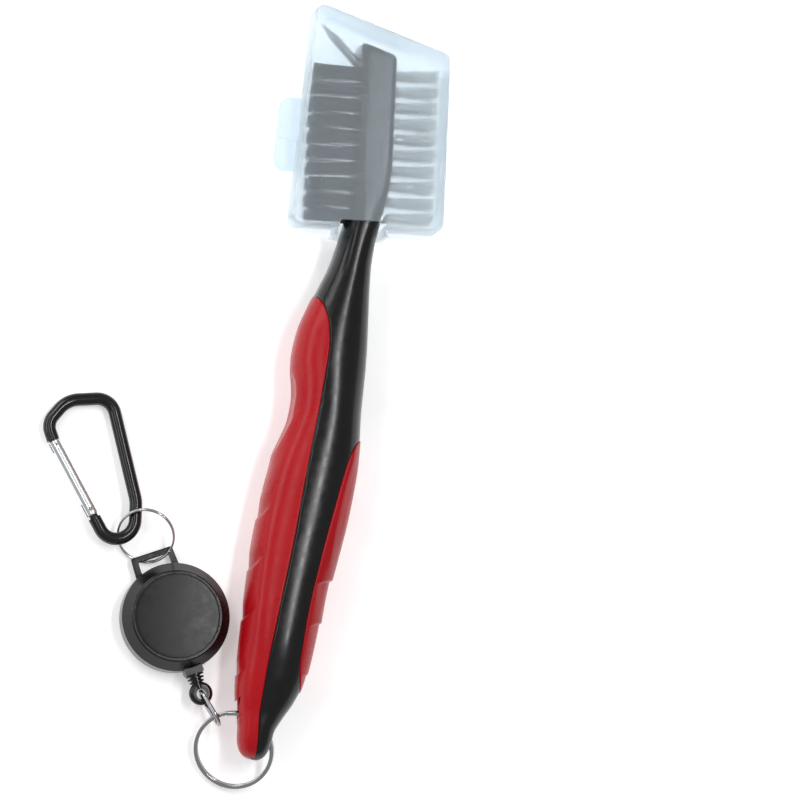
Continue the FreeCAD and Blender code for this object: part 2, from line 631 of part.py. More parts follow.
def make_carabiner():
    """Bent rod with flattened ends, tube gate, its pivot, latch pin, spring and plunger."""
    along = (GATE_NOSE - GATE_PIVOT).normalize()
    foot = GATE_PIVOT - along * 2.7
    head = GATE_NOSE + along * 0.35
    path = rounded_path([
        (head.x, head.y, 0), *CARABINER_BENDS, (foot.x, foot.y, 0)])
    start = path.Edges[0].valueAt(path.Edges[0].FirstParameter)
    tangent = path.Edges[0].tangentAt(path.Edges[0].FirstParameter)
    section = Part.Wire(Part.Circle(start, tangent, ROD_R).toShape())
    body = path.makePipeShell([section], True, True)
    flat, slack = TONGUE_HALF, TONGUE_HALF + 0.12
    lean = math.degrees(math.atan2(-along.x, along.y))

    def along_gate(shape):
        return placed(shape, GATE_PIVOT, lean)

    length = (GATE_NOSE - GATE_PIVOT).Length
    foot_tongue = along_gate(box((-1.2, 1.2), (-3.2, 0.3), (-flat, flat)).fuse(
        Part.makeCylinder(1.2, 2 * flat, Vec(0, 0.3, -flat))))
    nose_tongue = box((-1.2, 1.2), (length - 2.2, length + 1.0), (-flat, flat))
    nose_tongue = nose_tongue.cut(box((-0.45, 3), (length - 1.75, length - 0.75), (-3, 3)))
    body = body.multiFuse([foot_tongue, along_gate(nose_tongue)])
    pin_hole = Part.makeCylinder(0.6, 10, GATE_PIVOT - Vec(0, 0, 5))
    body = solid_of(body.cut(pin_hole))
    tube = Part.makeCylinder(GATE_R, length + 1.6, Vec(0, -1.6, 0), Y_AXIS)
    tube = tube.cut(Part.makeCylinder(GATE_BORE_R, 10.0, Vec(0, 2.4, 0), Y_AXIS))
    tube = tube.cut(box((-3, 3), (-3, 2.4), (-slack, slack)))
    tube = tube.cut(box((-3, 1.45), (length - 3.2, length + 2), (-slack, slack)))
    latch_hole = Part.makeCylinder(0.4, 10, Vec(0.05, length - 1.25, -5))
    tube = solid_of(tube.cut(latch_hole).cut(Part.makeCylinder(0.6, 10, Vec(0, 0, -5))))
    pivot = Part.makeCylinder(0.55, 2 * GATE_R + 0.1, Vec(0, 0, -GATE_R - 0.05))
    latch = Part.makeCylinder(0.4, 2 * GATE_R - 0.5, Vec(0.05, length - 1.25, -GATE_R + 0.25))
    plunger = Part.makeCylinder(0.95, 1.0, Vec(0, 2.5, 0), Y_AXIS)
    plunger = solid_of(plunger.fuse(Part.makeCylinder(0.55, 1.0, Vec(0, 1.56, 0), Y_AXIS)))
    coil = Part.makeHelix(0.8, 8.0, 0.7)
    coil_wire = Part.Wire(coil)
    start = coil_wire.Edges[0].valueAt(coil_wire.Edges[0].FirstParameter)
    direction = coil_wire.Edges[0].tangentAt(coil_wire.Edges[0].FirstParameter)
    spring = coil_wire.makePipeShell([Part.Wire(Part.Circle(start, direction, 0.16).toShape())], True, True)
    spring.rotate(ORIGIN, X_AXIS, -90)
    spring.translate(Vec(0, 3.95, 0))
    gate_parts = [place_carabiner(along_gate(s)) for s in (tube, pivot, latch, plunger, spring)]
    return place_carabiner(body), gate_parts


# ---- build --------------------------------------------------------------------------------
def main():
    os.makedirs("parts", exist_ok=True)
    core, palm, finger = make_handle()
    spike, spike_seat = make_spike()
    nylon, nylon_anchors, nylon_holes = make_tufts(
        -1, NYLON_TUFT_R, NYLON_TUFT_R, NYLON_LENGTH, tuft_places(True))
    wire, wire_anchors, wire_holes = make_tufts(
        1, WIRE_TUFT_R, WIRE_TIP_R, WIRE_LENGTH, tuft_places(False))
    core = core.fuse(head_block())
    core = core.cut(Part.makeCompound(nylon_holes + wire_holes))
    core = solid_of(core.cut(Part.makeCompound(nylon_anchors + wire_anchors)).cut(spike_seat))
    export("handle_core", core)
    export("palm_grip", palm)
    export("finger_grip", finger)
    export("groove_spike", spike)
    for name, tufts in (("nylon", nylon), ("wire", wire)):
        corners = (0, 1, len(tufts) - 3, len(tufts) - 1)
        export(name + "_corner_tufts", [tufts[i] for i in corners])
        export(name + "_tufts", [t for i, t in enumerate(tufts) if i not in corners])
    export("nylon_anchors", nylon_anchors)
    export("wire_anchors", wire_anchors)

    back, front, web = make_cover()
    export("cover_back_shell", back)
    export("cover_front_shell", front)
    export("cover_hinge_web", web)

    centre = key_ring_centre()
    ring = tilted(flat_ring(KEY_RING_R, *KEY_RING_SECTION), KEY_RING_TURN, KEY_RING_TILT, centre)
    export("key_ring", ring)

    eyelet, sleeve_top = cord_end()
    export("cord_end_eyelet", place_reel(eyelet))
    knot_at = Vec(0, sleeve_top - 2.9, CORD_Z)
    lead = rod(Vec(0, -LEAD_START, CORD_Z), knot_at, CORD_R).fuse(Part.makeSphere(0.8, knot_at))
    export("cord_lead", place_reel(solid_of(lead)))

    hole = placed(Part.Vertex(0, -EYELET_DISTANCE + LINK_SEAT, CORD_Z), REEL_CENTRE, REEL_LEAN).Point
    hole = Vec(hole.x, hole.y, hole.z)
    inside = ring_point(centre, KEY_RING_TURN, KEY_RING_TILT, KEY_RING_R - LINK_INSET, LINK_ANGLE)
    inside.z += LINK_LIFT
    run = inside - hole
    half = run.Length / 2
    link = stadium_loop(half, LINK_HALF_WIDTH, LINK_WIRE_R)
    up = math.degrees(math.asin(run.z / run.Length))
    link.rotate(ORIGIN, X_AXIS, up)
    link.rotate(ORIGIN, Z_AXIS, math.degrees(math.atan2(run.y, run.x)) - 90)
    link.translate((inside + hole) * 0.5)
    export("wire_link", link)

    export("reel_back_case", place_reel(solid_of(reel_back_case().fuse(reel_lug()))))
    export("reel_front_case", place_reel(reel_front_case()))
    export("reel_face_disc", place_reel(reel_face_disc()))
    export("spool_drum", place_reel(spool_drum()))
    export("wound_cord", place_reel(wound_cord()))
    export("power_spring", place_reel(power_spring()))

    small = tilted(Part.makeTorus(SMALL_RING_R, SMALL_RING_WIRE_R), SMALL_RING_TURN,
                   SMALL_RING_TILT, small_ring_centre())
    export("small_ring", small)

    body, gate_parts = make_carabiner()
    export("carabiner_body", body)
    names = ("carabiner_gate", "gate_pivot_pin", "gate_latch_pin", "gate_plunger", "gate_spring")
    for name, part in zip(names, gate_parts):
        export(name, part)


main()
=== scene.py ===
"""Looks for the golf club groove brush set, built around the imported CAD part."""
import math
import random

import bmesh
import bpy
import numpy as np
from mathutils import Matrix, Vector


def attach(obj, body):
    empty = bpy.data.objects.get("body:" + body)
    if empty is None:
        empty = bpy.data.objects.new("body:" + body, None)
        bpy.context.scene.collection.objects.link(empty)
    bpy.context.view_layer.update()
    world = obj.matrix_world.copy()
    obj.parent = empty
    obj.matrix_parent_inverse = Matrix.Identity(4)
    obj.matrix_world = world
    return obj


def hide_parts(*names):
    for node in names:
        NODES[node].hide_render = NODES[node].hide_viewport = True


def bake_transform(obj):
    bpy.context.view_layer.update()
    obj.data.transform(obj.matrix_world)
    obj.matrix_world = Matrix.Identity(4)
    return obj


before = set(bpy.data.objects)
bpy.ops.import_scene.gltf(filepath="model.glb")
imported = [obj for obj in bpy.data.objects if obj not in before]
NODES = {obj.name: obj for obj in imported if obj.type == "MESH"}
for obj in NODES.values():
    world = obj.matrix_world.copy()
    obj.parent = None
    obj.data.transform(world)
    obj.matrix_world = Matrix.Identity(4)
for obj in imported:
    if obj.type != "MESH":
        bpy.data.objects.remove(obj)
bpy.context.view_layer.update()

MM = 0.001

# ---- camera, light, floor -----------------------------------------------------------------
PICTURE_MM = 235.9            # height of the picture at the brush's middle plane
CAMERA_DISTANCE = 4.0
CAMERA_TARGET = Vector((11.54, -76.6, 12.5)) * MM
CAMERA_BACK = Vector((-0.147, -0.118, 1)).normalized()
CAMERA_UP = Vector((-0.0431, 1, 0))
HANDLE_WAY = Vector((0.11, 0.99, 0))       # roughly along the handle
LIGHT_TARGET = (-0.015, -0.10, 0.02)
REEL_TARGET = (-0.05, -0.14, 0)


def make_camera():
    """Long lens at the picture's viewing angle."""
    data = bpy.data.cameras.new("camera")
    camera = bpy.data.objects.new("camera", data)
    bpy.context.scene.collection.objects.link(camera)
    right = CAMERA_UP.cross(CAMERA_BACK).normalized()
    up = CAMERA_BACK.cross(right)
    turn = Matrix((right, up, CAMERA_BACK)).transposed().to_4x4()
    camera.matrix_world = Matrix.Translation(CAMERA_TARGET + CAMERA_BACK * CAMERA_DISTANCE) @ turn
    data.sensor_width = 36
    data.lens = 36 * CAMERA_DISTANCE / (PICTURE_MM * MM)
    data.clip_start, data.clip_end = 0.01, 20
    bpy.context.scene.camera = camera


def area_light(name, place, target, wide, tall, power):
    """Soft box at place that faces target, its tall side along the handle."""
    data = bpy.data.lights.new(name, "AREA")
    data.shape = "RECTANGLE"
    data.size, data.size_y = wide, tall
    data.energy = power
    light = bpy.data.objects.new(name, data)
    bpy.context.scene.collection.objects.link(light)
    back = (Vector(place) - Vector(target)).normalized()
    side = HANDLE_WAY.cross(back).normalized()
    turn = Matrix((side, back.cross(side), back)).transposed().to_4x4()
    light.matrix_world = Matrix.Translation(Vector(place)) @ turn


def make_studio():
    """Plain pale floor, even world and four soft boxes."""
    scene = bpy.context.scene
    scene.view_settings.view_transform = "Standard"
    scene.view_settings.look = "None"
    world = bpy.data.worlds.new("studio")
    scene.world = world
    world.use_nodes = True
    background = world.node_tree.nodes["Background"]
    background.inputs["Color"].default_value = (0.97, 0.985, 1, 1)
    background.inputs["Strength"].default_value = 0.42
    area_light("strip", (0.125, -0.025, 0.64), LIGHT_TARGET, 0.06, 0.38, 1.5)
    area_light("facet_strip", (-0.315, 0.02, 0.59), LIGHT_TARGET, 0.10, 0.36, 0.45)
    area_light("left_bank", (-0.54, 0.07, 0.24), LIGHT_TARGET, 0.16, 0.5, 0.8)
    area_light("dome_bank", (-0.37, 0.36, 0.36), REEL_TARGET, 0.2, 0.2, 0.7)
    bpy.ops.mesh.primitive_plane_add(size=6, location=(0, -0.08, -0.0004))
    floor = bpy.context.object
    floor.name = "floor"
    white = material("floor_white", (0.93, 0.93, 0.93), 0.6, grain=(60, 0.004))
    glow(white, (1, 1, 1), 0.35)
    floor.data.materials.append(white)


# ---- materials ----------------------------------------------------------------------------
DRIFT_SCALE = 45              # slow change of colour
WEAR_SCALE = 315              # finer change of roughness
ROUGH_DRIFT = 0.06


def new_material(name):
    """An empty material with one principled shader."""
    mat = bpy.data.materials.new(name)
    mat.use_nodes = True
    tree = mat.node_tree
    tree.nodes.clear()
    output = tree.nodes.new("ShaderNodeOutputMaterial")
    shader = tree.nodes.new("ShaderNodeBsdfPrincipled")
    tree.links.new(shader.outputs[0], output.inputs[0])
    return mat, tree, shader


def noise(tree, coords, scale, detail=4.0, rough=0.5, stretch=None):
    """Noise on the piece's own coordinates, drawn out where stretch is given."""
    if stretch:
        mapping = tree.nodes.new("ShaderNodeMapping")
        mapping.inputs["Scale"].default_value = stretch
        tree.links.new(coords, mapping.inputs[0])
        coords = mapping.outputs[0]
    node = tree.nodes.new("ShaderNodeTexNoise")
    node.inputs["Scale"].default_value = scale
    node.inputs["Detail"].default_value = detail
    node.inputs["Roughness"].default_value = rough
    tree.links.new(coords, node.inputs["Vector"])
    return node.outputs["Fac"]


def spread(tree, value, low, high):
    """Maps a noise's middle range onto low..high."""
    node = tree.nodes.new("ShaderNodeMapRange")
    node.inputs["From Min"].default_value = 0.3
    node.inputs["From Max"].default_value = 0.7
    node.inputs["To Min"].default_value = low
    node.inputs["To Max"].default_value = high
    tree.links.new(value, node.inputs["Value"])
    return node.outputs[0]


def bump(tree, height, strength, distance, before=None):
    """A bump on top of the one before."""
    node = tree.nodes.new("ShaderNodeBump")
    node.inputs["Strength"].default_value = strength
    node.inputs["Distance"].default_value = distance
    tree.links.new(height, node.inputs["Height"])
    if before is not None:
        tree.links.new(before, node.inputs["Normal"])
    return node.outputs[0]


def material(name, colour, rough, metallic=0.0, vary=0.06, grain=(900, 0.1), grain_mm=0.05,
             stretch=None, specular=0.5, scratches=0.0):
    """A moulded, rubbed or plated surface: colour and roughness drift, fine grain, faint scratches."""
    mat, tree, shader = new_material(name)
    coords = tree.nodes.new("ShaderNodeTexCoord").outputs["Object"]
    ramp = tree.nodes.new("ShaderNodeValToRGB")
    low, high = ramp.color_ramp.elements
    low.position, high.position = 0.3, 0.72
    low.color = (*[c * (1 - vary) for c in colour], 1)
    high.color = (*[min(c * (1 + vary), 1) for c in colour], 1)
    tree.links.new(noise(tree, coords, DRIFT_SCALE, 5.0, 0.6), ramp.inputs[0])
    tree.links.new(ramp.outputs[0], shader.inputs["Base Color"])
    wear = noise(tree, coords, WEAR_SCALE, 6.0, 0.65)
    tree.links.new(spread(tree, wear, max(rough - ROUGH_DRIFT, 0.02), rough + ROUGH_DRIFT),
                   shader.inputs["Roughness"])
    grain_scale, grain_strength = grain
    height = noise(tree, coords, grain_scale, 3.0, 0.6, stretch)
    normal = bump(tree, height, grain_strength, grain_mm * MM)
    if scratches:
        lines = noise(tree, coords, 260, 2.0, 0.5, (1, 0.06, 1))
        normal = bump(tree, lines, scratches, 0.03 * MM, normal)
    tree.links.new(normal, shader.inputs["Normal"])
    shader.inputs["Metallic"].default_value = metallic
    shader.inputs["Specular IOR Level"].default_value = specular
    return mat


def glow(mat, colour, strength):
    """Adds an even emitted glow: an evenly lit floor, or on the cover painted light that stands in for
    light scattered inside the milky plastic.
    """
    shader = next(node for node in mat.node_tree.nodes if node.type == "BSDF_PRINCIPLED")
    shader.inputs["Emission Color"].default_value = (*colour, 1)
    shader.inputs["Emission Strength"].default_value = strength


def frosted(name, colour, rough, clear, painted_glow=0.0):
    """Translucent moulded plastic that blurs what lies behind it; the last argument sets a painted glow
    that stands in for light scattered inside the plastic.
    """
    mat, tree, shader = new_material(name)
    coords = tree.nodes.new("ShaderNodeTexCoord").outputs["Object"]
    cloud = noise(tree, coords, 60, 4.0, 0.6)
    tree.links.new(spread(tree, cloud, rough - 0.05, rough + 0.05), shader.inputs["Roughness"])
    ripple = noise(tree, coords, 420, 3.0, 0.6)
    tree.links.new(bump(tree, ripple, 0.12, 0.05 * MM), shader.inputs["Normal"])
    shader.inputs["Base Color"].default_value = (*colour, 1)
    shader.inputs["Transmission Weight"].default_value = clear
    shader.inputs["IOR"].default_value = 1.12
    shader.inputs["Alpha"].default_value = 0.85
    # painted light: the plastic glows evenly in place of light scattered inside it
    glow(mat, colour, painted_glow)
    return mat


def make_materials():
    """Every finish, by the name that dress and main use."""
    return {
        "black": material("black_polypropylene", (0.004, 0.0036, 0.0042), 0.22, vary=0.25,
                          grain=(1800, 0.05), grain_mm=0.02, scratches=0.03, specular=0.36),
        "red": material("red_soft_rubber", (0.40, 0.0015, 0.006), 0.30, vary=0.08,
                        grain=(2300, 0.25), grain_mm=0.04, specular=0.26),
        "steel": material("bright_steel", (0.45, 0.45, 0.46), 0.17, 1.0, vary=0.05,
                          grain=(700, 0.05), scratches=0.10),
        "ring": material("nickel_plate", (0.42, 0.42, 0.43), 0.16, 1.0, vary=0.05,
                         grain=(500, 0.04), scratches=0.12),
        "spring": material("spring_steel", (0.42, 0.43, 0.46), 0.25, 1.0, scratches=0.1),
        "nylon": material("nylon_filament", (0.020, 0.020, 0.023), 0.36, vary=0.3, grain=(3000, 0.1)),
        "wire": material("crimped_wire", (0.86, 0.86, 0.84), 0.34, 0.45, vary=0.10, grain=(3000, 0.15)),
        # the last number of each cover finish is a painted glow, standing in for light scattered inside
        # the milky plastic
        "cover": frosted("frosted_cover", (0.83, 0.905, 0.955), 0.33, 0.89, 0.02),
        "cover_back": frosted("frosted_back", (0.93, 0.965, 0.985), 0.45, 0.35, 0.19),
        "web": frosted("frosted_hinge", (0.93, 0.97, 0.99), 0.42, 0.7),
        "reel": material("gloss_black_reel", (0.003, 0.003, 0.0033), 0.20, vary=0.3,
                         grain=(500, 0.06), scratches=0.05, specular=0.45),
        "disc": material("satin_disc", (0.007, 0.007, 0.0075), 0.30, vary=0.10,
                         grain=(2600, 0.10), grain_mm=0.02, scratches=0.04, specular=0.28),
        "spool": material("acetal", (0.80, 0.79, 0.76), 0.42),
        "anodised": material("black_anodised", (0.004, 0.004, 0.0045), 0.18, vary=0.3,
                             grain=(800, 0.06), scratches=0.08, specular=0.45),
        "gate": material("drawn_aluminium", (0.80, 0.81, 0.82), 0.22, 1.0, vary=0.04,
                         grain=(1200, 0.10), stretch=(1, 0.2, 1), scratches=0.15),
        "cord": material("braided_cord", (0.012, 0.012, 0.013), 0.7, vary=0.4,
                         grain=(2500, 0.6), grain_mm=0.1),
    }


def dress(mats):
    """Materials for the CAD nodes that stay."""
    look = {
        "steel": ["groove_spike", "nylon_anchors", "wire_anchors", "gate_pivot_pin", "gate_latch_pin"],
        "cover": ["cover_front_shell"],
        "cover_back": ["cover_back_shell"],
        "ring": ["wire_link"],
        "reel": ["reel_back_case", "reel_front_case", "cord_end_eyelet"],
        "spool": ["spool_drum"],
        "cord": ["wound_cord"],
        "spring": ["power_spring", "gate_plunger", "gate_spring"],
        "anodised": ["carabiner_body"],
        "gate": ["carabiner_gate"],
    }
    for key, names in look.items():
        for name in names:
            NODES[name].data.materials.clear()
            NODES[name].data.materials.append(mats[key])


# ---- mesh helpers -------------------------------------------------------------------------
def new_piece(name, points, faces, mat):
    """A smooth mesh piece from points in millimetres."""
    mesh = bpy.data.meshes.new(name)
    mesh.from_pydata([tuple(p) for p in np.asarray(points) * MM], [], faces)
    mesh.validate()
    mesh.shade_smooth()
    mesh.materials.append(mat)
    obj = bpy.data.objects.new(name, mesh)
    bpy.context.scene.collection.objects.link(obj)
    return obj


def add_piece(name, points, faces, mat, body, replaces):
    """A piece that rides on a CAD body."""
    obj = new_piece(name, points, faces, mat)
    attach(obj, body)
    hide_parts(*replaces)
    return obj


def bending_piece(name, points, faces, mat, replaces):
    """A piece tied to no body; points that meet are merged and the replaced parts hidden."""
    obj = new_piece(name, points, faces, mat)
    weld(obj, 0.0001)
    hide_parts(*replaces)
    return obj


def weld(obj, distance_mm):
    """Merges points that meet and turns the faces outwards."""
    mesh = bmesh.new()
    mesh.from_mesh(obj.data)
    bmesh.ops.remove_doubles(mesh, verts=mesh.verts, dist=distance_mm * MM)
    bmesh.ops.recalc_face_normals(mesh, faces=mesh.faces)
    mesh.to_mesh(obj.data)
    mesh.free()


def monotone(xs, ys, at):
    """Monotone cubic through (xs, ys), at the given places."""
    xs, ys, at = np.asarray(xs, float), np.asarray(ys, float), np.asarray(at, float)
    step = np.diff(xs)
    slope = np.diff(ys) / step
    m = np.empty_like(ys)
    m[0], m[-1] = slope[0], slope[-1]
    for i in range(1, len(xs) - 1):
        a, b = slope[i - 1], slope[i]
        w1, w2 = 2 * step[i] + step[i - 1], step[i] + 2 * step[i - 1]
        m[i] = 0 if a * b <= 0 else (w1 + w2) / (w1 / a + w2 / b)
    i = np.clip(np.searchsorted(xs, at) - 1, 0, len(xs) - 2)
    t = np.clip((at - xs[i]) / step[i], 0, 1)
    h = step[i]
    return ((2 * t ** 3 - 3 * t ** 2 + 1) * ys[i] + (t ** 3 - 2 * t ** 2 + t) * h * m[i]
            + (-2 * t ** 3 + 3 * t ** 2) * ys[i + 1] + (t ** 3 - t ** 2) * h * m[i + 1])


def soft_step(x, low, high):
    """Smooth 0 to 1 between low and high."""
    t = np.clip((np.asarray(x, float) - low) / (high - low), 0, 1)
    return t * t * (3 - 2 * t)


def between(x, start, full, fade, end):
    """1 from full to fade, 0 before start and after end."""
    return soft_step(x, start, full) * (1 - soft_step(x, fade, end))


def tube_sides(count, ring):
    """Side faces of a tube with count rings of ring points each."""
    faces = []
    for i in range(count - 1):
        for k in range(ring):
            n = (k + 1) % ring
            faces.append((i * ring + k, i * ring + n, (i + 1) * ring + n, (i + 1) * ring + k))
    return faces


def tube(rings):
    """Points and faces of a tube through closed rings; the ends are capped flat."""
    count, ring = rings.shape[:2]
    faces = tube_sides(count, ring)
    faces.append(tuple(reversed(range(ring))))
    faces.append(tuple(range((count - 1) * ring, count * ring)))
    return list(rings.reshape(-1, 3)), faces


# ---- handle -------------------------------------------------------------------------------
HANDLE_LEAN = math.radians(6.3)
HANDLE_TAIL = np.array((-27.1, -185.4))
MID_Z = 12.5
# distance from the tail, left edge, right edge, half thickness
STATIONS = np.array([
    (0.0, -1.7, 0.9, 1.4), (0.8, -3.3, 2.2, 3.3), (2.4, -4.7, 3.3, 5.0), (5.0, -5.6, 4.1, 6.2),
    (9.0, -6.1, 4.6, 6.9), (13.0, -7.0, 6.2, 7.4), (18.0, -8.3, 8.7, 8.4), (25.0, -9.1, 11.0, 9.8),
    (35.0, -9.6, 12.4, 11.2), (48.0, -10.1, 13.5, 12.0), (62.0, -10.4, 15.1, 12.25),
    (76.0, -9.7, 16.4, 12.3), (88.0, -8.3, 16.8, 12.25), (98.0, -6.2, 16.3, 12.1),
    (105.0, -5.2, 15.6, 11.85), (112.0, -5.8, 15.2, 11.6), (120.0, -7.2, 14.8, 11.1),
    (127.0, -6.7, 14.2, 10.5), (134.0, -5.0, 13.4, 9.8), (141.0, -2.7, 12.6, 9.1),
    (148.0, -0.5, 11.9, 8.5),
])
# left point, right point, half thickness and squareness, from the neck to the head's end
HEAD_RIBS = [
    (-9.1, -31.0, 1.75, -31.9, 8.2, 2.4), (-7.4, -25.0, 2.95, -25.6, 8.25, 2.8),
    (-6.0, -20.0, 4.0, -20.0, 8.4, 4.2), (-5.5, -14.0, 4.95, -14.0, 8.5, 7.0),
    (-5.4, -6.0, 5.4, -6.0, 8.5, 9.0), (-5.4, 5.0, 5.4, 5.0, 8.5, 9.0),
    (-5.4, 16.0, 5.4, 14.5, 8.5, 9.0), (-5.4, 24.0, 5.4, 21.0, 8.5, 9.0),
    (-5.4, 26.4, 5.4, 22.9, 8.5, 9.0), (-5.25, 27.3, 5.25, 23.7, 8.35, 8.5),
    (-4.8, 27.8, 4.8, 24.5, 7.9, 8.0), (-4.1, 27.9, 4.1, 25.0, 7.2, 7.0),
    (-2.4, 27.4, 2.4, 25.6, 5.0, 6.0),
]
SECTION_POWER = 2.25          # squareness of the handle's section
CROWN = 0.52                  # where the section is thickest, as a share of its width
# borders of the two grips: distance from the tail, lateral place
PALM_EDGE = [(-3.0, 0.2), (4.0, -0.2), (14.0, -1.2), (26.0, -1.3), (42.0, -0.7), (65.0, 0.5),
             (88.0, 1.2), (108.0, 2.1), (122.0, 2.3), (130.0, 1.2), (135.6, -1.2), (140.0, -5.6)]
FINGER_EDGE = [(17.5, 13.0), (23.0, 9.4), (31.0, 7.7), (41.0, 7.6), (60.0, 8.8), (76.0, 10.6),
               (89.0, 12.4), (95.5, 14.3), (100.4, 18.4)]


def to_row(s, y):
    """Handle frame to row frame, in the plane."""
    c, q = math.cos(HANDLE_LEAN), math.sin(HANDLE_LEAN)
    return np.stack([HANDLE_TAIL[0] + s * c + y * q, HANDLE_TAIL[1] - s * q + y * c], -1)


def handle_ribs():
    """Left point, right point, half thickness and squareness along the handle and head."""
    rows = []
    for y, left, right, half in STATIONS:
        rows.append((*to_row(left, y), *to_row(right, y), half, SECTION_POWER))
    rows = np.array(rows + HEAD_RIBS)
    middle = (rows[:, :2] + rows[:, 2:4]) / 2
    run = np.concatenate([[0], np.cumsum(np.linalg.norm(np.diff(middle, axis=0), axis=1))])
    return run, rows


def rib_points(rows, turns, sink=0.0):
    """Section points for each rib row at the given angles; sink pushes them inwards."""
    left, right, half, power = rows[:, :2], rows[:, 2:4], rows[:, 4], rows[:, 5]
    across = right - left
    width = np.linalg.norm(across, axis=1)
    unit = across / width[:, None]
    crown = CROWN * width
    c, s = np.cos(turns), np.sin(turns)
    reach = np.where(c >= 0, (width - crown)[:, None], crown[:, None])
    e = (2 / power)[:, None]
    x = reach * np.sign(c) * np.abs(c) ** e
    z = half[:, None] * np.sign(s) * np.abs(s) ** e
    shrink = 1 - sink / (np.sqrt(x ** 2 + z ** 2) + 1e-6)
    x, z = x * shrink, z * shrink
    flat = left[:, None, :] + unit[:, None, :] * (crown[:, None] + x)[..., None]
    return np.concatenate([flat, (MID_Z + z)[..., None]], -1)


def edge_turn(lateral, left, right):
    """Angle round the section at which the surface is at this lateral place."""
    crown = left + CROWN * (right - left)
    on_right = np.clip((lateral - crown) / (right - crown), 0, 1) ** (SECTION_POWER / 2)
    on_left = np.clip((crown - lateral) / (crown - left), 0, 1) ** (SECTION_POWER / 2)
    return np.arccos(np.clip(np.where(lateral >= crown, on_right, -on_left), -1, 1))


def ring_grid(points):
    """Tube through rows of points, closed by a fan at each end."""
    rows, ring = points.shape[:2]
    flat = list(points.reshape(-1, 3))
    faces = tube_sides(rows, ring)
    for start, row in ((True, 0), (False, rows - 1)):
        pole = len(flat)
        flat.append(points[row].mean(0))
        for k in range(ring):
            n = (k + 1) % ring
            a, b = row * ring + k, row * ring + n
            faces.append((pole, b, a) if start else (pole, a, b))
    return flat, faces


# creases of the palm grip and the finger grip: (distance from the tail, lateral place)
PALM_RIDGE = [(28.0, -4.6), (36.0, -5.6), (46.0, -6.2), (62.0, -6.7), (75.0, -6.6), (90.0, -5.9),
              (100.0, -4.6)]
THUMB_CREST = [(84.1, -10.75), (88.45, -8.55), (93.2, -6.64), (96.9, -5.45), (101.5, -4.4),
               (106.8, -4.35), (111.1, -4.89), (115.3, -6.56), (118.85, -9.33)]
FINGER_RIDGE = [(56.0, 11.7), (68.0, 11.7), (74.0, 12.0), (82.0, 12.6), (92.0, 14.1)]
PALM_STEPS = (70.6, 55.4, 40.0, 22.6)
FINGER_STEPS = ((54.7, 12.3, 0.85), (42.4, 14.8, 0.6), (27.6, 9.0, 0.4))   # place, run, depth


def curve_at(points, at):
    """Lateral place of a crease or border at these distances from the tail."""
    return monotone([x for x, _ in points], [y for _, y in points], at)


def tent(lateral, peak, low, high, height):
    """Straight-sided ridge at peak that ends at low and high."""
    left = np.clip((lateral - low) / np.maximum(peak - low, 0.1), 0, 1)
    right = np.clip((high - lateral) / np.maximum(high - peak, 0.1), 0, 1)
    return height * np.minimum(left, right)


def grip_offset(along, lateral, border, edge_gap, kind):
    """Height of the rubber over the plain handle surface, in millimetres."""
    rise = -0.75 + 1.05 * soft_step(edge_gap, 0.0, 0.5)
    if kind == "palm":
        # a long crease beside the stripe, a crest over the thumb scoop, then shallow slanted steps
        ridge = curve_at(PALM_RIDGE, along)
        window = between(along, 27, 42, 92, 108)
        rise = rise + window * tent(lateral, ridge, ridge - 3.4, border, 0.42)
        crest = curve_at(THUMB_CREST, along)
        window = between(along, 84.5, 90, 117.0, 119.5)
        rise = rise - 0.95 * window * soft_step(crest - lateral, 0.0, 1.3)
        rise = rise + window * tent(lateral, crest, crest - 0.7, crest + 1.6, 0.30)
        for place in PALM_STEPS:
            slant = along - place - 1.25 * (lateral + 10.0)
            band = 1 - soft_step(lateral, -9.4, -6.4)
            notch = soft_step(slant, -0.4, 0.1) * (1 - soft_step(slant, 0.3, 6.0))
            rise = rise - 0.42 * band * notch
    else:
        # one short crease, then steps that fade towards the tail
        ridge = curve_at(FINGER_RIDGE, along)
        window = between(along, 56, 62, 90, 97)
        rise = rise + window * tent(lateral, ridge, border, ridge + 1.8, 0.35)
        for place, run, depth in FINGER_STEPS:
            below = place - along + 0.5 * (lateral - 12.0)
            band = soft_step(lateral, 8.2, 11.6)
            fade = (1 - np.clip(below / run, 0, 1)) * (below > -1)
            rise = rise - depth * band * soft_step(below, -0.2, 0.5) * fade
    return rise


GRIP_ROWS = 380
GRIP_ACROSS = 100
GRIP_DEPTH = 1.6              # how far the inner skin lies in the core


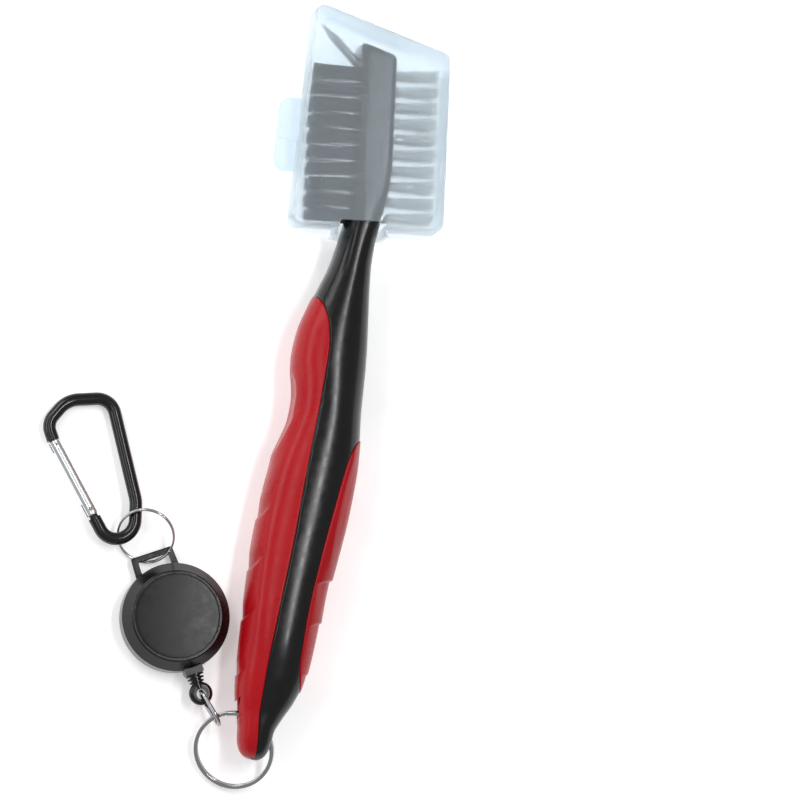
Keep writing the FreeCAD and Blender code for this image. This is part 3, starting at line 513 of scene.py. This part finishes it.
def grip_piece(name, kind, mat, replaced):
    """Rubber grip: an outer skin with its details, closed by an inner skin buried in the core."""
    low, high = (0.25, 139.6) if kind == "palm" else (17.9, 100.0)
    even = np.linspace(0, 1, GRIP_ROWS)
    crowded = 0.5 - 0.5 * np.cos(math.pi * even)          # closer rows at both ends
    along = low + (high - low) * (0.35 * crowded + 0.65 * even)
    left = monotone(STATIONS[:, 0], STATIONS[:, 1], along)
    right = monotone(STATIONS[:, 0], STATIONS[:, 2], along)
    half = monotone(STATIONS[:, 0], STATIONS[:, 3], along)
    edge = PALM_EDGE if kind == "palm" else FINGER_EDGE
    border = curve_at(edge, along)
    turn = edge_turn(border, left, right)
    share = np.linspace(0, 1, GRIP_ACROSS)
    share = share - 0.099 * np.sin(2 * math.pi * share)   # closer points at both borders
    if kind == "palm":
        turns = turn[:, None] + (2 * math.pi - 2 * turn)[:, None] * share
    else:
        turns = -turn[:, None] + (2 * turn)[:, None] * share
    rows = np.array([(*to_row(l, y), *to_row(r, y), h, SECTION_POWER)
                     for y, l, r, h in zip(along, left, right, half)])
    plain = rib_points(rows, turns)
    gaps = np.linalg.norm(np.diff(plain, axis=1), axis=2)
    run = np.concatenate([np.zeros((len(along), 1)), np.cumsum(gaps, axis=1)], 1)
    edge_gap = np.minimum(run, run[:, -1:] - run)
    ends = high - along
    if kind == "finger":
        ends = np.minimum(ends, along - low)
    edge_gap = np.minimum(edge_gap, np.maximum(ends, 0)[:, None] * 0.8)
    crown = left + CROWN * (right - left)
    c = np.cos(turns)
    reach = np.where(c >= 0, (right - crown)[:, None], (crown - left)[:, None])
    lateral = crown[:, None] + reach * np.sign(c) * np.abs(c) ** (2 / SECTION_POWER)
    rise = grip_offset(along[:, None], lateral, border[:, None], edge_gap, kind)
    # flatter where the handle is thickest, so the grip stays within its depth
    thickest = soft_step(half[:, None], 11.4, 12.2)
    rise = rise - 0.22 * thickest * soft_step(np.abs(plain[..., 2] - MID_Z), 9.5, 12.0)
    outer = rib_points(rows, turns, sink=-rise)
    inner = rib_points(rows, turns, sink=GRIP_DEPTH)
    inner[:, 0], inner[:, -1] = outer[:, 0], outer[:, -1]
    inner[0], inner[-1] = outer[0], outer[-1]
    points = list(outer.reshape(-1, 3)) + list(inner.reshape(-1, 3))
    faces = []
    base = GRIP_ROWS * GRIP_ACROSS
    for i in range(GRIP_ROWS - 1):
        for k in range(GRIP_ACROSS - 1):
            a = i * GRIP_ACROSS + k
            face = (a, a + 1, a + 1 + GRIP_ACROSS, a + GRIP_ACROSS)
            faces += [face, tuple(base + v for v in reversed(face))]
    obj = add_piece(name, points, faces, mat, "brush", replaced)
    weld(obj, 0.004)
    return obj


def handle_piece(mat):
    """Black core, neck and head in one skin; it sinks under the grips."""
    run, rows = handle_ribs()
    at = np.unique(np.concatenate([np.linspace(0, 6, 16), np.linspace(6, run[-1] - 8, 330),
                                   np.linspace(run[-1] - 8, run[-1], 40)]))
    fine = np.stack([monotone(run, rows[:, k], at) for k in range(6)], 1)
    turns = np.tile(np.linspace(0, 2 * math.pi, 160, endpoint=False), (len(at), 1))
    plain = rib_points(fine, turns)
    c, q = math.cos(HANDLE_LEAN), math.sin(HANDLE_LEAN)
    dx, dy = plain[..., 0] - HANDLE_TAIL[0], plain[..., 1] - HANDLE_TAIL[1]
    lateral, along = dx * c - dy * q, dx * q + dy * c
    palm, finger = curve_at(PALM_EDGE, along), curve_at(FINGER_EDGE, along)
    in_palm = soft_step(palm - lateral, 0.1, 0.8) * (1 - soft_step(along, 138.5, 139.5))
    in_finger = soft_step(lateral - finger, 0.1, 0.8) * between(along, 18.3, 19.3, 98.6, 99.6)
    deep_palm = soft_step(palm - lateral, 1.2, 2.8) * between(along, 3, 8, 131, 136)
    deep_finger = soft_step(lateral - finger, 1.2, 2.8) * between(along, 20, 24, 92, 97)
    sink = 0.62 * np.maximum(in_palm, in_finger) + 1.1 * np.maximum(deep_palm, deep_finger)
    points, faces = ring_grid(rib_points(fine, turns, sink))
    return add_piece("handle_and_head", points, faces, mat, "brush", ["handle_core"])


TAIL_HOLE = (-1.1, 11.5, -0.6)              # middle of the hole: lateral, from the tail, height
TAIL_HOLE_HEADING = math.radians(-27.4) - HANDLE_LEAN
KEY_RING_R = 11.3


def tail_hole_middle():
    """Middle of the tail hole in the row frame."""
    return np.append(to_row(TAIL_HOLE[0], TAIL_HOLE[1]), MID_Z + TAIL_HOLE[2])


def cut_tail_hole(objects):
    """Cuts the flared ring hole through the tail of each piece."""
    stops = np.linspace(-8.4, 9.6, 25)
    radii = 1.8 + KEY_RING_R - np.sqrt(KEY_RING_R ** 2 - stops ** 2)
    turns = np.linspace(0, 2 * math.pi, 48, endpoint=False)
    c, s = math.cos(TAIL_HOLE_HEADING), math.sin(TAIL_HOLE_HEADING)
    along, side = np.array((c, s, 0)), np.array((-s, c, 0))
    middle = tail_hole_middle()
    rings = np.array([[middle + along * t + side * r * math.cos(a) + np.array((0, 0, r * math.sin(a)))
                       for a in turns] for t, r in zip(stops, radii)])
    points, faces = ring_grid(rings)
    mesh = bpy.data.meshes.new("hole_cutter")
    mesh.from_pydata([tuple(p * MM) for p in points], [], faces)
    cutter = bpy.data.objects.new("hole_cutter", mesh)
    bpy.context.scene.collection.objects.link(cutter)
    weld(cutter, 0.0001)
    for obj in objects:
        cut = obj.modifiers.new("hole", "BOOLEAN")
        cut.operation, cut.object, cut.solver = "DIFFERENCE", cutter, "EXACT"
        bpy.context.view_layer.update()
        depsgraph = bpy.context.evaluated_depsgraph_get()
        result = bpy.data.meshes.new_from_object(obj.evaluated_get(depsgraph))
        obj.modifiers.remove(cut)
        obj.data = result
    bpy.data.objects.remove(cutter)


# ---- bristles -----------------------------------------------------------------------------
HEAD_HALF = 5.4
TUFTS = [(19.4 - row * 4.72, MID_Z + column) for row in range(10) for column in (-5.0, 0.0, 5.0)]


def filaments(name, side, tufts, per_tuft, root_r, tip_r, length, thick, crimp, sides, mat,
              replaced, rng):
    """Bundles of filaments that fan from each hole; crimp is the height of their waves."""
    steps = 11 if crimp else 5
    points, faces = [], []
    for y, z in tufts:
        lean_y, lean_z = rng.gauss(0, 0.25), rng.gauss(0, 0.25)
        for i in range(per_tuft):
            angle, radius = i * 2.39996, math.sqrt((i + 0.5) / per_tuft)
            oy, oz = radius * math.cos(angle), radius * math.sin(angle)
            reach = length * (1 - abs(rng.gauss(0, 0.018)))
            spread_y, spread_z = rng.gauss(0, 0.10), rng.gauss(0, 0.10)
            phase, phase2 = rng.uniform(0, 6.28), rng.uniform(0, 6.28)
            base = len(points)
            for k in range(steps + 1):
                t = k / steps
                out = side * (HEAD_HALF - 1.0 + (reach + 1.0) * t)
                r = root_r + (tip_r - root_r) * t ** 1.3
                wave = crimp * math.sin(phase + 15.0 * t) * min(t * 4, 1)
                wave2 = crimp * math.sin(phase2 + 12.0 * t) * min(t * 4, 1)
                py = y + oy * r + (lean_y + spread_y * 2) * t * t + wave
                pz = z + oz * r + (lean_z + spread_z * 2) * t * t + wave2
                for j in range(sides):
                    a = 2 * math.pi * j / sides
                    points.append((out, py + thick * math.cos(a), pz + thick * math.sin(a)))
            for k in range(steps):
                for j in range(sides):
                    n = (j + 1) % sides
                    a, b = base + k * sides + j, base + k * sides + n
                    faces.append((a, b, b + sides, a + sides))
            faces.append(tuple(base + steps * sides + j for j in range(sides)))
            faces.append(tuple(base + j for j in reversed(range(sides))))
    add_piece(name, points, faces, mat, "brush", replaced)


# ---- rings --------------------------------------------------------------------------------
def split_ring(name, radius, section, pitch, centre, heading, tilt, start_deg, mat, body, replaced):
    """Two-turn split ring of flat or round wire, on the CAD ring's circle."""
    c, s = math.cos(heading), math.sin(heading)
    along = np.array((c, s, 0))
    across = np.array((-s * math.cos(tilt), c * math.cos(tilt), math.sin(tilt)))
    normal = np.cross(along, across)
    count = 360
    rings = []
    for i in range(count + 1):
        share = i / count
        angle = math.radians(start_deg) + share * math.radians(2 * 360 - 14)
        shift = pitch * (float(soft_step(share, 0.455, 0.545)) - 0.5)
        radial = along * math.cos(angle) + across * math.sin(angle)
        middle = centre + radial * radius + normal * shift
        rings.append([middle + radial * a + normal * b for a, b in section])
    points, faces = tube(np.array(rings))
    add_piece(name, points, faces, mat, body, [replaced])


def rounded_rect(wide, tall, radius, corner=4):
    """Section of flat wire."""
    points = []
    for cx, cy, a0 in ((1, 1, 0), (-1, 1, 90), (-1, -1, 180), (1, -1, 270)):
        for i in range(corner + 1):
            a = math.radians(a0 + 90 * i / corner)
            points.append((cx * (wide / 2 - radius) + radius * math.cos(a),
                           cy * (tall / 2 - radius) + radius * math.sin(a)))
    return points


def circle(radius, count=14):
    """Section of round wire."""
    return [(radius * math.cos(2 * math.pi * i / count), radius * math.sin(2 * math.pi * i / count))
            for i in range(count)]


REEL_CENTRE = np.array((-51.5, -144.1, 0))
REEL_LEAN = math.radians(21.5)


def reel_point(x, y, z):
    """Reel frame to row frame; the reel's Y runs from its cord outlet to its lug."""
    c, s = math.cos(REEL_LEAN), math.sin(REEL_LEAN)
    return REEL_CENTRE + np.array((x * c - y * s, x * s + y * c, z))


KEY_RING_TILT = math.radians(27.5)


def make_rings(mat):
    """The key ring hangs from the middle of the tail hole, the small ring from the reel's lug."""
    c, s = math.cos(TAIL_HOLE_HEADING), math.sin(TAIL_HOLE_HEADING)
    flat = math.cos(KEY_RING_TILT)
    drop = np.array((s * flat, -c * flat, -math.sin(KEY_RING_TILT)))
    split_ring("key_split_ring", KEY_RING_R, rounded_rect(1.2, 1.02, 0.3), 1.08,
               tail_hole_middle() + KEY_RING_R * drop, TAIL_HOLE_HEADING, KEY_RING_TILT, 150,
               mat, "key_ring", "key_ring")
    split_ring("small_split_ring", 8.3, circle(0.33), 0.68, reel_point(-0.3, 25.6, 4.95),
               math.radians(-24.0), math.radians(31.0), 10, mat, "small_ring", "small_ring")


def revolved(profile, centre, turns=96):
    """Points and faces of a solid turned about Z; the profile starts and ends on the axis."""
    points = [centre + np.array((0, 0, profile[0][1]))]
    angles = [2 * math.pi * i / turns for i in range(turns)]
    for r, z in profile[1:-1]:
        points += [centre + np.array((r * math.cos(a), r * math.sin(a), z)) for a in angles]
    points.append(centre + np.array((0, 0, profile[-1][1])))
    rows = len(profile) - 2
    faces = []
    for i in range(turns):
        n = (i + 1) % turns
        faces.append((0, 1 + i, 1 + n))
        for k in range(rows - 1):
            a = 1 + k * turns
            faces.append((a + i, a + turns + i, a + turns + n, a + n))
        a = 1 + (rows - 1) * turns
        faces.append((a + i, len(points) - 1, a + n))
    return points, faces


def reel_disc(mat):
    """Slightly domed satin disc with a rolled edge."""
    low, edge, radius, rise = 10.6, 10.78, 12.5, 0.28
    profile = [(0, low), (radius - 0.15, low), (radius, low + 0.08), (radius, edge - 0.1)]
    profile += [(radius - 0.2 * (1 - math.cos(a)), edge - 0.1 + 0.1 * math.sin(a))
                for a in (0.5, 1.0, 1.5)]
    for i in range(1, 14):
        share = 1 - i / 14
        profile.append(((radius - 0.2) * share, edge + rise * (1 - share ** 2)))
    profile.append((0, edge + rise))
    points, faces = revolved(profile, REEL_CENTRE)
    obj = add_piece("reel_domed_disc", points, faces, mat, "reel", ["reel_face_disc"])
    weld(obj, 0.0001)


CORD_Z = 5.5
CORD_SIDES = 14
KNOT_R = 0.8


def pull_cord(mat):
    """The cord's end with its knot in the sleeve."""
    knot, start, end = -20.5, -18.9, -14.2
    stops = [(knot - KNOT_R, 0.05)]
    stops += [(knot - KNOT_R * math.cos(a), KNOT_R * math.sin(a)) for a in np.linspace(0.3, 2.55, 9)]
    stops += [(y, 0.4) for y in np.linspace(knot + KNOT_R, -13.75, 26)] + [(-13.7, 0.3)]
    rings = np.array([[reel_point(x * r, y, CORD_Z + z * r) for x, z in circle(1, CORD_SIDES)]
                      for y, r in stops])
    points, faces = tube(rings)
    obj = bending_piece("pull_cord", points, faces, mat, ["cord_lead"])
    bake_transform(obj)


def hinge_web(mat):
    """Flexible strip between the cover's halves, laid along the hinge line."""
    low, high, rows = 11.8, 13.2, 24
    middle = np.linspace(low, high, 9)
    outline = [(20.6, 10.5), (21.2, 10.55), (21.35, 10.8)] + [(21.35, z) for z in middle]
    outline += [(21.35, 14.2), (21.2, 14.45), (20.6, 14.5), (20.6, high)]
    outline += [(20.85, z) for z in middle[::-1]] + [(20.6, low)]
    rings = np.array([[(x, -21 + 41 * j / rows, z) for x, z in outline] for j in range(rows + 1)])
    points, faces = tube(rings)
    obj = bending_piece("living_hinge", points, faces, mat, ["cover_hinge_web"])
    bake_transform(obj)


def main():
    rng = random.Random(7)
    mats = make_materials()
    make_camera()
    make_studio()
    dress(mats)
    core = handle_piece(mats["black"])
    palm = grip_piece("palm_grip_rubber", "palm", mats["red"], ["palm_grip"])
    grip_piece("finger_grip_rubber", "finger", mats["red"], ["finger_grip"])
    cut_tail_hole([core, palm])
    nylon = [t for t in TUFTS if t != (19.4, MID_Z)]
    filaments("nylon_bristles", -1, nylon, 26, 1.35, 1.75, 13.9, 0.17, 0.0, 6, mats["nylon"],
              ["nylon_tufts", "nylon_corner_tufts"], rng)
    filaments("wire_bristles", 1, TUFTS, 22, 0.75, 1.85, 12.9, 0.12, 0.16, 5, mats["wire"],
              ["wire_tufts", "wire_corner_tufts"], rng)
    make_rings(mats["ring"])
    reel_disc(mats["disc"])
    pull_cord(mats["cord"])
    hinge_web(mats["web"])


main()
